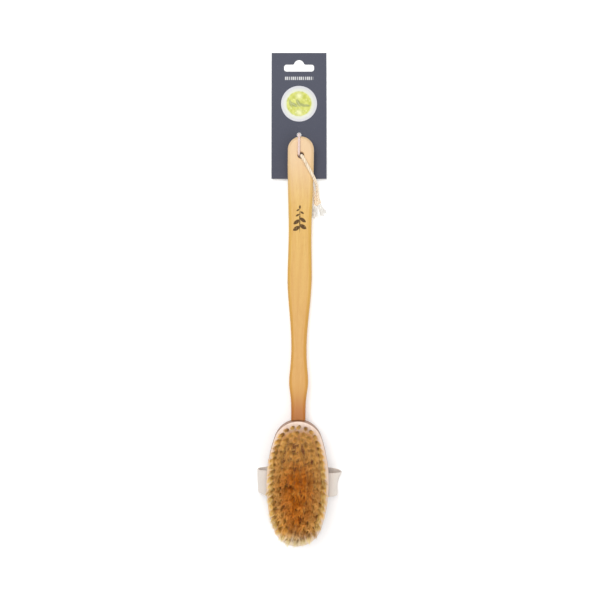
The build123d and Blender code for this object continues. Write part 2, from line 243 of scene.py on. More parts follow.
def spline_line(control_points, step):
    """Points at an even step along the smooth spline that has these control points."""
    curve = bpy.data.curves.new("route", "CURVE")
    curve.dimensions = "3D"
    curve.resolution_u = 24
    spline = curve.splines.new("NURBS")
    spline.points.add(len(control_points) - 1)
    flat = np.concatenate([control_points, np.ones((len(control_points), 1))], 1)
    spline.points.foreach_set("co", flat.ravel())
    spline.order_u = 3
    spline.use_endpoint_u = True
    holder = bpy.data.objects.new("route", curve)
    bpy.context.scene.collection.objects.link(holder)
    mesh = bpy.data.meshes.new_from_object(holder)
    line = np.zeros(len(mesh.vertices) * 3)
    mesh.vertices.foreach_get("co", line)
    line = line.reshape(-1, 3)
    bpy.data.meshes.remove(mesh)
    bpy.data.objects.remove(holder)
    bpy.data.curves.remove(curve)
    along = arc_lengths(line)
    even = np.linspace(0, along[-1], max(int(along[-1] / step), 8))
    return np.stack([np.interp(even, along, line[:, axis]) for axis in range(3)], -1)


def frames_along(line, across):
    """Side and up at each point of a line, square to it. The side leans as near as it can to across."""
    tangent = unit(np.gradient(line, axis=0))
    side = unit(across - (tangent @ across)[:, None] * tangent)
    return side, np.cross(tangent, side)


def between(value, start, reach):
    """How far a value is past start, in shares of reach, held between 0 and 1."""
    return np.clip((value - start) / reach, 0, 1)


def scattered(random, count):
    """Points scattered evenly over a disc of radius 1, and their angles: the distance is a uniform number's
    square root."""
    angle = random.uniform(0, 2 * np.pi, count)
    disc = np.sqrt(random.uniform(0, 1, count))
    return np.stack([disc * np.cos(angle), disc * np.sin(angle)], -1), angle


def knot_line(centre, half_sizes, count):
    """An overhand knot's line: a point goes twice round the axis while it crosses it three times."""
    turn = np.linspace(0, 2 * np.pi, count)
    away = 2.0 + np.cos(3 * turn)
    line = np.stack([away * np.cos(2 * turn), away * np.sin(2 * turn), np.sin(3 * turn)], -1)
    return centre + line * half_sizes * MM


def twisted_cord(name, line, across, radius, lay, lobes=3, columns=30):
    """A laid cord. Its section's radius is 0.74 of the whole between the strands, and grows from there by
    the 0.7 power of a cosine's absolute value. The section turns once in each lay."""
    side, up = frames_along(line, across)
    along = arc_lengths(line)
    angle = np.linspace(0, 2 * np.pi, columns, endpoint=False)[None, :]
    turn = (2 * np.pi * along / lay)[:, None]
    crest = np.abs(np.cos(lobes / 2 * (angle - turn)))
    reach = radius * (0.74 + 0.26 * crest**0.7)
    sections = line[:, None] + reach[..., None] * (
        np.cos(angle)[..., None] * side[:, None] + np.sin(angle)[..., None] * up[:, None]
    )
    uv = np.stack(np.broadcast_arrays(along[:, None] / MM, (angle - turn) / (2 * np.pi) * lobes), -1)
    return closed_tube(name, sections, uv, {"crest": np.broadcast_to(crest, reach.shape)})


def hairs(name, lines, radius, values):
    """Many fine bristles as one mesh. Each is three-sided, tapers to six tenths of its radius at its tip,
    and is closed by a triangle at each end. lines is (hairs, stations, 3)."""
    count, rows = lines.shape[:2]
    tangent = unit(np.gradient(lines, axis=1))
    across = unit(np.cross(tangent, np.array([0.31, 0.95, 0.05])))
    up = np.cross(tangent, across)
    angle = np.arange(3) * 2 * np.pi / 3
    share = np.linspace(0, 1, rows)[None, :, None, None]
    reach = radius * (1 - 0.4 * share)
    ring = np.cos(angle)[:, None] * across[:, :, None] + np.sin(angle)[:, None] * up[:, :, None]
    points = (lines[:, :, None] + reach * ring).reshape(-1, 3)
    first = (np.arange(count) * rows * 3)[:, None, None]
    sides = (ring_faces(rows, 3)[None] + first).reshape(-1, 4)
    start = (np.array([[2, 1, 0]])[None] + first).reshape(-1, 3)
    end = (np.array([[0, 1, 2]])[None] + first + (rows - 1) * 3).reshape(-1, 3)
    spread = {key: np.broadcast_to(v[..., None], (count, rows, 3)) for key, v in values.items()}
    return write_mesh(name, points, [sides, start, end], None, spread)


# ---------------------------------------------------------------- shader building


def set_inputs(node, inputs):
    """Sets a node's inputs, by name or number: a socket is linked, and anything else is the input's value."""
    for key, value in inputs.items():
        if isinstance(value, bpy.types.NodeSocket):
            node.id_data.links.new(value, node.inputs[key])
        else:
            node.inputs[key].default_value = value


def add_node(tree, kind, inputs=None, **settings):
    """A node with its settings made and then its inputs set."""
    made = tree.nodes.new(kind)
    for key, value in settings.items():
        setattr(made, key, value)
    set_inputs(made, inputs or {})
    return made


def tree_of(*values):
    """The node tree of the first socket among these values."""
    return next(value.id_data for value in values if isinstance(value, bpy.types.NodeSocket))


def maths(operation, *values, clamp=False):
    """A Math node's output for these values, sockets or numbers."""
    settings = {"operation": operation, "use_clamp": clamp}
    return add_node(tree_of(*values), "ShaderNodeMath", dict(enumerate(values)), **settings).outputs[0]


def times(first, second, clamp=False):
    """The product of two values."""
    return maths("MULTIPLY", first, second, clamp=clamp)


def scaled(value, factor, offset, clamp=False):
    """A value times a factor, plus an offset."""
    return maths("MULTIPLY_ADD", value, factor, offset, clamp=clamp)


def vector_maths(operation, *values):
    """A Vector Math node's output, which is a number for a length or a distance."""
    made = add_node(tree_of(*values), "ShaderNodeVectorMath", dict(enumerate(values)), operation=operation)
    return made.outputs["Value" if operation in ("LENGTH", "DISTANCE") else "Vector"]


def axes(vector):
    """A vector's X, Y and Z outputs."""
    return add_node(vector.id_data, "ShaderNodeSeparateXYZ", {0: vector}).outputs


def noise(vector, scale, detail):
    """Noise between 0 and 1."""
    inputs = {"Vector": vector, "Scale": scale, "Detail": detail}
    return add_node(vector.id_data, "ShaderNodeTexNoise", inputs).outputs["Fac"]


def stretched_noise(vector, factors, detail):
    """Noise whose coordinates are multiplied, axis by axis, by factors."""
    return noise(vector_maths("MULTIPLY", vector, factors), 1.0, detail)


def mixed(share, first, second, blend="MIX"):
    """A colour between first and second by share."""
    inputs = {0: share, 6: first, 7: second}
    settings = {"data_type": "RGBA", "blend_type": blend}
    return add_node(tree_of(share, first, second), "ShaderNodeMix", inputs, **settings).outputs[2]


def tinted(colour, share, amount, tint):
    """A colour moved towards a tint by a share of an amount."""
    return mixed(times(share, amount), colour, tint)


def dimmed(colour, red, green, blue):
    """A constant colour whose red, green and blue are each multiplied."""
    return tuple(np.array(colour) * np.array([red, green, blue, 1]))


def ramped(value, low, high):
    """0 where value is at or under low, 1 at or over high, and smooth between."""
    inputs = {"Value": value, "From Min": low, "From Max": high}
    made = add_node(value.id_data, "ShaderNodeMapRange", inputs, interpolation_type="SMOOTHSTEP")
    return made.outputs["Result"]


def bumped(height, distance, strength):
    """A normal bumped by a height, which is in shares of distance."""
    inputs = {"Height": height, "Distance": distance, "Strength": strength}
    return add_node(height.id_data, "ShaderNodeBump", inputs).outputs["Normal"]


def new_material(name, **constants):
    """A material and its Principled BSDF with these constants. An underscore stands for a space."""
    material = bpy.data.materials.new(name)
    material.use_nodes = True
    shader = material.node_tree.nodes["Principled BSDF"]
    set_inputs(shader, {key.replace("_", " "): value for key, value in constants.items()})
    return material, shader


def object_coordinates(shader):
    """Object coordinates, in metres."""
    return shader.id_data.nodes.new("ShaderNodeTexCoord").outputs["Object"]


def flat_vector(shader, centre, turn):
    """Object coordinates seen from above, from a centre and turned, with no height."""
    inputs = {"Vector": object_coordinates(shader), "Location": (*centre, 0), "Rotation": (0, 0, turn)}
    moved = add_node(shader.id_data, "ShaderNodeMapping", inputs, vector_type="TEXTURE").outputs[0]
    return vector_maths("MULTIPLY", moved, (1.0, 1.0, 0.0))


def upward(shader):
    """How far the surface faces up: its normal's Z."""
    return axes(shader.id_data.nodes.new("ShaderNodeNewGeometry").outputs["Normal"])["Z"]


def attribute(shader, name):
    """A mesh attribute's number."""
    return add_node(shader.id_data, "ShaderNodeAttribute", attribute_name=name).outputs["Fac"]


def yarn_map(shader):
    """The map of a strap or cord, in mm along it and then across or round it."""
    return add_node(shader.id_data, "ShaderNodeUVMap", uv_map="along").outputs["UV"]


def paint(node, material):
    """Gives a CAD node's object this one material."""
    NODES[node].data.materials.clear()
    NODES[node].data.materials.append(material)


def new_group(name, inputs, outputs):
    """An empty shader node group with these sockets: (name, kind, default) in, (name, kind) out. Gives what
    comes in and the node that takes what goes out."""
    tree = bpy.data.node_groups.new(name, "ShaderNodeTree")
    for key, kind, default in inputs:
        socket = tree.interface.new_socket(key, in_out="INPUT", socket_type=f"NodeSocket{kind}")
        if default is not None:
            socket.default_value = default
    for key, kind in outputs:
        tree.interface.new_socket(key, in_out="OUTPUT", socket_type=f"NodeSocket{kind}")
    return tree.nodes.new("NodeGroupInput").outputs, tree.nodes.new("NodeGroupOutput")


def use_group(name, inputs):
    """A group's outputs in the tree of its Vector. The group itself is made when it is first used."""
    group = bpy.data.node_groups.get(name) or GROUPS[name]()
    return add_node(inputs["Vector"].id_data, "ShaderNodeGroup", inputs, node_tree=group).outputs


def grain_group():
    """Wood grain along Y: fine fibres, growth bands bent by slow noise, and short dark pores. Each is a
    noise whose coordinates are stretched along the grain."""
    given, put = new_group(
        "Wood grain",
        [
            ("Vector", "Vector", None),
            ("Pale", "Color", (0.8, 0.5, 0.25, 1)),
            ("Deep", "Color", (0.5, 0.25, 0.1, 1)),
            ("Fibre width", "Float", 0.5 * MM),
            ("Fibre length", "Float", 20 * MM),
            ("Band width", "Float", 4 * MM),
            ("Pores", "Float", 0.3),
        ],
        [("Color", "Color"), ("Height", "Float"), ("Rough", "Float")],
    )
    vector = given["Vector"]
    thin = maths("DIVIDE", 1.0, given["Fibre width"])
    long = maths("DIVIDE", 1.0, given["Fibre length"])
    scale = add_node(put.id_data, "ShaderNodeCombineXYZ", {"X": thin, "Y": long, "Z": thin}).outputs[0]
    fibre = stretched_noise(vector, scale, 4.0)
    slow = stretched_noise(vector, (60.0, 9.0, 60.0), 2.0)
    pore = stretched_noise(vector, (3200.0, 260.0, 3200.0), 1.0)
    # A band is a sine of X and a share of Z, bent by up to 16 mm.
    split = axes(vector)
    bent = scaled(slow, 16 * MM, maths("ADD", split["X"], times(split["Z"], 0.45)))
    phase = times(maths("DIVIDE", bent, given["Band width"]), 2 * math.pi)
    band = scaled(maths("SINE", phase), 0.5, 0.5)
    share = scaled(band, 0.28, scaled(fibre, 1.1, -0.42))
    share = scaled(slow, 0.5, maths("SUBTRACT", share, 0.12), clamp=True)
    pores = times(ramped(pore, 0.60, 0.72), given["Pores"])
    colour = mixed(share, given["Pale"], given["Deep"])
    colour = mixed(pores, colour, mixed(0.6, given["Deep"], PORE_DARK))
    height = maths("SUBTRACT", fibre, times(pores, 0.8))
    set_inputs(put, {"Color": colour, "Height": height, "Rough": scaled(fibre, 0.16, 0.38)})
    return put.id_data


def cotton_group():
    """Cotton yarn: a soft lengthwise fibre noise on the piece's own map, and painted shade in the creases
    between strands, whose mask comes from an attribute or a weave. The same darker colour also blotches the
    yarn at random."""
    given, put = new_group(
        "Cotton yarn",
        [
            ("Vector", "Vector", None),
            ("Yarn", "Color", (0.8, 0.75, 0.7, 1)),
            ("Crest", "Float", 1.0),
            ("Shade", "Float", 0.5),
            ("Fibres", "Float", 6.0),
            ("Blotches", "Float", 1.0),
        ],
        [("Color", "Color"), ("Height", "Float")],
    )
    yarn = given["Yarn"]
    fuzz = noise(given["Vector"], given["Fibres"], 5.0)
    blotch = noise(given["Vector"], 0.35, 1.0)
    # Painted shade in the creases between strands.
    crease = times(maths("SUBTRACT", 1.0, given["Crest"]), given["Shade"], clamp=True)
    dark = mixed(1.0, yarn, CREASE_SHADE_AND_BLOTCH_TONE, "MULTIPLY")
    colour = mixed(crease, yarn, dark)
    colour = mixed(ramped(fuzz, 0.45, 0.75), colour, BRIGHT_FIBRE)
    colour = tinted(colour, ramped(blotch, 0.5, 0.9), given["Blotches"], dark)
    set_inputs(put, {"Color": colour, "Height": scaled(fuzz, 0.35, given["Crest"])})
    return put.id_data


def leaf_group():
    """The mask of one pointed leaf: the overlap of two equal circles, whose centres lie either side of the
    leaf's middle. Its length and half width set the circles' radius."""
    given, put = new_group(
        "Leaf",
        [
            ("Vector", "Vector", None),
            ("Centre", "Vector", (0, 0, 0)),
            ("Turn", "Float", 0.0),
            ("Half length", "Float", 3 * MM),
            ("Half width", "Float", 1 * MM),
            ("Edge", "Float", 0.2 * MM),
        ],
        [("Mask", "Float")],
    )
    long, wide = given["Half length"], given["Half width"]
    inputs = {"Vector": vector_maths("SUBTRACT", given["Vector"], given["Centre"]), "Angle": given["Turn"]}
    turned = add_node(put.id_data, "ShaderNodeVectorRotate", inputs, rotation_type="Z_AXIS").outputs[0]
    radius = maths("DIVIDE", maths("ADD", times(long, long), times(wide, wide)), times(wide, 2.0))
    x = maths("ADD", maths("ABSOLUTE", axes(turned)["X"]), maths("SUBTRACT", radius, wide))
    y = axes(turned)["Y"]
    far = maths("SQRT", maths("ADD", times(x, x), times(y, y)))
    inside = maths("DIVIDE", maths("SUBTRACT", radius, far), given["Edge"])
    set_inputs(put, {"Mask": scaled(inside, 0.5, 0.5, clamp=True)})
    return put.id_data


GROUPS = {"Wood grain": grain_group, "Cotton yarn": cotton_group, "Leaf": leaf_group}


def leaves(vector, edge, places):
    """The joined mask of several leaves, each (x, y, turn in degrees, half length, half width), in mm."""
    total = None
    for x, y, turn, half_length, half_width in places:
        inputs = {
            "Vector": vector,
            "Centre": (x * MM, y * MM, 0),
            "Turn": math.radians(turn),
            "Half length": half_length * MM,
            "Half width": half_width * MM,
            "Edge": edge * MM,
        }
        mask = use_group("Leaf", inputs)["Mask"]
        total = mask if total is None else maths("MAXIMUM", total, mask)
    return total


# ---------------------------------------------------------------- operators


class BRUSH_OT_wood(bpy.types.Operator):
    """Finishes the handle, the head's back and the face plate in grained wood"""

    bl_idname = "brush.wood"
    bl_label = "Wood"

    def handle(self, colours):
        """Lacquered handle: painted shade deepens it towards the neck and most at the socket, it is paler
        towards its tip, and it carries a burnt sprig.
        """
        material, shader = new_material("handle_wood", Roughness=0.42, Coat_Roughness=0.25)
        where = object_coordinates(shader)
        grain = {
            "Vector": where,
            "Pale": tuple(colours.wood_pale),
            "Deep": tuple(colours.wood_deep),
            "Fibre width": 0.9 * MM,
            "Fibre length": 45 * MM,
            "Band width": 6.5 * MM,
            "Pores": 0.22,
        }
        wood = use_group("Wood grain", grain)
        along = axes(where)["Y"]
        # Painted shade: the handle deepens towards the neck and most at the socket, where the head shades it;
        # it is paler towards its tip.
        colour = tinted(wood["Color"], ramped(along, 300 * MM, 60 * MM), 0.62, NECK_SHADE)
        colour = tinted(colour, ramped(along, HALF_LENGTH + 36 * MM, HALF_LENGTH + 4 * MM), 0.82, SOCKET_SHADE_AND_BOUNCE)
        colour = tinted(colour, ramped(along, 270 * MM, 345 * MM), 0.62, TIP_WOOD)
        # The sprig: a stem, four pairs of leaves and a bud, burnt into the upper side only, and unevenly.
        sprig = leaves(
            flat_vector(shader, (-0.4 * MM, 267 * MM), 0),
            0.25,
            [
                (0.0, -1.5, 0, 12.0, 0.65), (-3.3, -9.4, 58, 4.2, 2.1), (3.3, -7.6, -58, 4.2, 2.1),
                (-3.2, -2.8, 54, 4.0, 1.9), (3.1, -0.8, -54, 3.9, 1.8), (-2.3, 4.0, 60, 2.3, 1.0),
                (2.3, 6.6, -60, 2.2, 1.0), (-1.9, 9.2, 60, 1.9, 0.8), (0.0, 12.2, 0, 2.1, 1.0),
            ],
        )
        sprig = times(sprig, ramped(axes(where)["Z"], 6 * MM, 9 * MM))
        sprig = times(sprig, ramped(noise(where, 900.0, 2.0), 0.22, 0.42))
        outputs = {
            "Base Color": tinted(colour, sprig, 0.93, tuple(colours.burn)),
            "Roughness": scaled(sprig, 0.4, wood["Rough"]),
            "Coat Weight": scaled(sprig, -0.10, 0.10),
            "Normal": bumped(maths("SUBTRACT", wood["Height"], sprig), 0.12 * MM, 0.5),
        }
        set_inputs(shader, outputs)
        return material

    def head(self, name, top, side, painted_under_bristles):
        """Sanded wood whose face is pale and whose sides are painted deeper, as painted shade, by how far the
        surface faces up. A face under the bristles gets painted golden bounce light round the tufts' oval and
        deep painted shade inside it."""
        material, shader = new_material(name, Roughness=0.5, Coat_Weight=0.06, Coat_Roughness=0.3)
        where = object_coordinates(shader)
        grain = {"Vector": where, "Pores": 0.25}
        grain |= {"Fibre width": 0.8 * MM, "Fibre length": 30 * MM, "Band width": 7.5 * MM}
        flat = use_group("Wood grain", grain | {"Pale": tuple(top), "Deep": dimmed(top, 0.86, 0.76, 0.68)})
        shaded_wall = use_group("Wood grain", grain | {"Pale": tuple(side), "Deep": dimmed(side, 0.72, 0.62, 0.55)})
        face = flat["Color"]
        if painted_under_bristles:
            # Where an oval is, X and Y over its half axes, each to this power, add up to 1.
            power = 3.2
            split = axes(where)
            shares = [
                maths("POWER", maths("DIVIDE", maths("ABSOLUTE", split[axis]), half), power)
                for axis, half in (("X", HALF_WIDTH - 8 * MM), ("Y", HALF_LENGTH - 12 * MM))
            ]
            reach = maths("POWER", maths("ADD", *shares), 1 / power)
            # Painted light and shade under the bristles: golden bounce light towards the oval's edge, then
            # deep shade inside it.
            face = tinted(face, ramped(reach, 1.11, 0.97), 0.94, BRISTLE_BOUNCE_GOLD)
            face = tinted(face, ramped(reach, 0.95, 0.74), 0.95, BRISTLE_SHADE_DEEP)
        # Painted shade: surfaces that face sideways take the darker wall colour.
        outputs = {
            "Base Color": mixed(ramped(upward(shader), 0.25, 0.85), shaded_wall["Color"], face),
            "Roughness": flat["Rough"],
            "Normal": bumped(flat["Height"], 0.1 * MM, 0.45),
        }
        set_inputs(shader, outputs)
        return material

    def execute(self, context):
        colours = context.scene.brush_colours
        # The wall colour is the sides' painted shade; the back's top is a paler copy of it, as painted light.
        shaded_wall = colours.shaded_wall_wood
        paint("handle", self.handle(colours))
        paint("bristle_plate", self.head("face_wood", colours.face_pale, shaded_wall, True))
        paint("head_back", self.head("back_wood", dimmed(shaded_wall, 1.25, 1.35, 1.5), shaded_wall, False))
        return {"FINISHED"}


class BRUSH_OT_bristles(bpy.types.Operator):
    """Fills each ring's holes with bundles of natural bristle"""

    bl_idname = "brush.bristles"
    bl_label = "Bristles"

    def tufts(self, sizes):
        """Each tuft's root on the face, its axis, and its ring. A tuft stands on its own anchor: the middle
        of the anchor's 24 points and the direction between its first two give the axis. Its ring is the
        node that has a point nearest the tuft's tip."""
        anchors = NODES["tuft_anchors"].data
        flat = np.zeros(len(anchors.vertices) * 3)
        anchors.vertices.foreach_get("co", flat)
        boxes = flat.reshape(-1, 24, 3)
        axis = unit(boxes[:, 1] - boxes[:, 0])
        axis = axis * np.sign(axis[:, 2:])
        middle = boxes.mean(1)
        root = middle + axis * ((FACE_HEIGHT - middle[:, 2:]) / axis[:, 2:])
        tip = root + axis * sizes.bristle_length
        gaps = []
        for number in range(1, RINGS + 1):
            ring = NODES[f"tuft_ring_{number}"].data
            flat = np.zeros(len(ring.vertices) * 3)
            ring.vertices.foreach_get("co", flat)
            ends = flat.reshape(-1, 3)
            ends = ends[ends[:, 2] > FACE_HEIGHT + 0.9 * sizes.bristle_length]
            gaps.append(np.linalg.norm(tip[:, None] - ends[None], axis=2).min(1))
        return root, axis, np.argmin(gaps, 0)

    def open_way(self, root, axis, ring, sizes):
        """How far each tuft's tips spread along X and Y into a gap beside it: the sum of the unit vectors
        from its neighbours' tips, each weighted by a bell curve of the distance. Even neighbours cancel."""
        spacing, falloff, strength, furthest = 6.3 * MM, 5 * MM, 1.5 * MM, 2.4 * MM
        ring_share = np.array([0.0, 0.3, 1.0, 1.0, 1.0])
        tip = (root + axis * sizes.bristle_length)[:, :2]
        apart = tip[:, None] - tip[None]
        distance = np.linalg.norm(apart, axis=2) + np.eye(len(tip))
        weight = np.exp((spacing**2 - distance**2) / falloff**2) * (1 - np.eye(len(tip)))
        push = (apart / distance[..., None] * weight[..., None]).sum(1) * strength
        size = np.linalg.norm(push, axis=1, keepdims=True) + 1e-9
        return push / size * np.minimum(size, furthest) * ring_share[ring][:, None]

    def lines(self, root, axis, outer, spread, sizes, random):
        """The bristles' centrelines, and one tone for each. A bristle starts somewhere in the root's disc
        and ends at the same place in the tip's wider disc, with a little scatter. Between them it bows by a
        parabola, and its end curls away by a fourth power. The tips follow spread along X and Y. A tuft has
        a lean, a height and a tone of its own. An outer tuft is tighter the nearer it stands to the handle,
        and the whole field is brushed a little to -X."""
        lean_size, curl_size = (0.35 * MM, 0.6 * MM) if outer else (0.6 * MM, 2.0 * MM)
        scatter, sunk, brushed = 0.8 * MM, 1.5 * MM, 0.9 * MM
        lowest, highest = -3 * MM, 0.8 * MM
        tufts, count = len(root), sizes.bristles_per_tuft
        near_handle = np.clip(root[:, 1] / HALF_LENGTH, 0, 1) ** 2
        tight = 1.0 - 0.48 * near_handle if outer else 0.92 - 0.1 * near_handle
        own_lean = np.repeat(random.normal(0, lean_size, (tufts, 2)), count, 0)
        own_height = np.repeat(random.normal(0, 0.4 * MM, tufts), count)
        tone = np.repeat(random.normal(0.5, 0.2, tufts), count) + random.normal(0, 0.2, tufts * count)
        tight = np.repeat(tight, count)[:, None]
        root = np.repeat(root, count, 0)
        axis = np.repeat(axis, count, 0)
        total = len(root)
        side = unit(np.cross(axis, np.array([0.0, 1.0, 0.0])))
        up = np.cross(axis, side)
        across = scattered(random, total)[0]
        bottom = across * sizes.tuft_root_radius
        top = (across * sizes.tuft_tip_radius + random.normal(0, scatter, (total, 2))) * tight + own_lean
        bow = random.normal(0, scatter, (total, 2)) * tight
        curl = random.normal(0, curl_size, (total, 2)) * tight
        own_height = own_height + random.normal(0, 0.45 * MM, total)
        height = sizes.bristle_length + np.clip(own_height, lowest, highest)
        share = np.linspace(0, 1, 5)[None, :, None]
        offset = bottom[:, None] + (top - bottom)[:, None] * share**1.15
        offset = offset + bow[:, None] * share * (1 - share) * 2
        offset = offset + curl[:, None] * share**4
        rise = -sunk + (height[:, None, None] + sunk) * share
        lines = root[:, None] + axis[:, None] * rise
        lines = lines + side[:, None] * offset[..., :1] + up[:, None] * offset[..., 1:]
        lines[..., 0] -= brushed * share[..., 0] ** 1.5
        lines[..., :2] += np.repeat(spread, count, 0)[:, None] * share**1.5
        return lines, np.clip(tone, 0, 1)

    def material(self, colours):
        """Boar bristle: a root darkened by painted shade, a straw tip, a tone of its own for each bristle,
        and a soft gloss. The inner rings are painted deeper, as painted shade, and the outer rings paler, as
        painted light; the field is also painted paler at its two ends, as painted light."""
        material, shader = new_material("boar_bristle", Roughness=0.55, Specular_IOR_Level=0.04)
        along, tone, outer = (attribute(shader, name) for name in ("share", "tone", "outer"))
        # Painted light and shade: outer rings take paler colours and inner rings deeper ones, and the roots
        # are darkened.
        root = mixed(outer, tuple(colours.shaded_bristle_root), LIT_OUTER_ROOT)
        middle = mixed(outer, SHADED_INNER_MIDDLE, LIT_OUTER_MIDDLE)
        tip = mixed(outer, SHADED_INNER_TIP, tuple(colours.bristle_tip))
        colour = mixed(ramped(along, 0.05, 0.6), root, middle)
        colour = mixed(ramped(along, 0.6, 1.0), colour, tip)
        colour = mixed(ramped(tone, 0.72, 1.0), colour, PALE_BRISTLE)
        # Painted light: the bristles are painted paler towards both ends of the field.
        place = axes(object_coordinates(shader))["Y"]
        colour = tinted(colour, ramped(place, 8 * MM, 34 * MM), 0.72, HANDLE_END_PAINTED_LIGHT)
        colour = tinted(colour, ramped(place, -40 * MM, -56 * MM), 0.85, FAR_END_PAINTED_LIGHT)
        colour = tinted(colour, ramped(tone, 0.36, 0.04), 0.6, DARK_BRISTLE)
        set_inputs(shader, {"Base Color": colour, "Roughness": scaled(tone, 0.2, 0.32)})
        return material

    def execute(self, context):
        sizes = context.scene.brush_sizes
        material = self.material(context.scene.brush_colours)
        root, axis, ring = self.tufts(sizes)
        spread = self.open_way(root, axis, ring, sizes)
        for number in range(1, RINGS + 1):
            random = np.random.default_rng(40 + number)
            chosen = ring == number - 1
            if not chosen.any():
                raise RuntimeError(f"no tuft was found for ring {number}")
            lines, tone = self.lines(root[chosen], axis[chosen], number == 1, spread[chosen], sizes, random)
            count, rows = lines.shape[:2]
            # outer is each ring's share of the outer rings' painted light; the rest is painted shade.
            values = {
                "share": np.broadcast_to(np.linspace(0, 1, rows), (count, rows)),
                "tone": np.broadcast_to(tone[:, None], (count, rows)),
                "outer": np.full((count, rows), (1 - (number - 1) / (RINGS - 1)) ** 2.1),
            }
            piece = hairs(f"bristles_ring_{number}", lines, sizes.bristle_radius, values)
            piece.data.materials.append(material)
            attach(piece, "head")
            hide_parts(f"tuft_ring_{number}")
        return {"FINISHED"}


class BRUSH_OT_wire(bpy.types.Operator):
    """Gives the tuft anchors and the strap's staples a drawn steel finish"""

    bl_idname = "brush.wire"
    bl_label = "Anchors and staples"

    def execute(self, context):
        material, shader = new_material("drawn_wire", Metallic=1.0, Roughness=0.3)
        drawn = stretched_noise(object_coordinates(shader), (900.0, 12000.0, 9000.0), 3.0)
        outputs = {
            "Base Color": mixed(drawn, WIRE_DARK, WIRE_BRIGHT),
            "Roughness": scaled(drawn, 0.25, 0.2),
            "Normal": bumped(drawn, 0.02 * MM, 0.4),
        }
        set_inputs(shader, outputs)
        paint("tuft_anchors", material)
        paint("strap_staples", material)
        return {"FINISHED"}


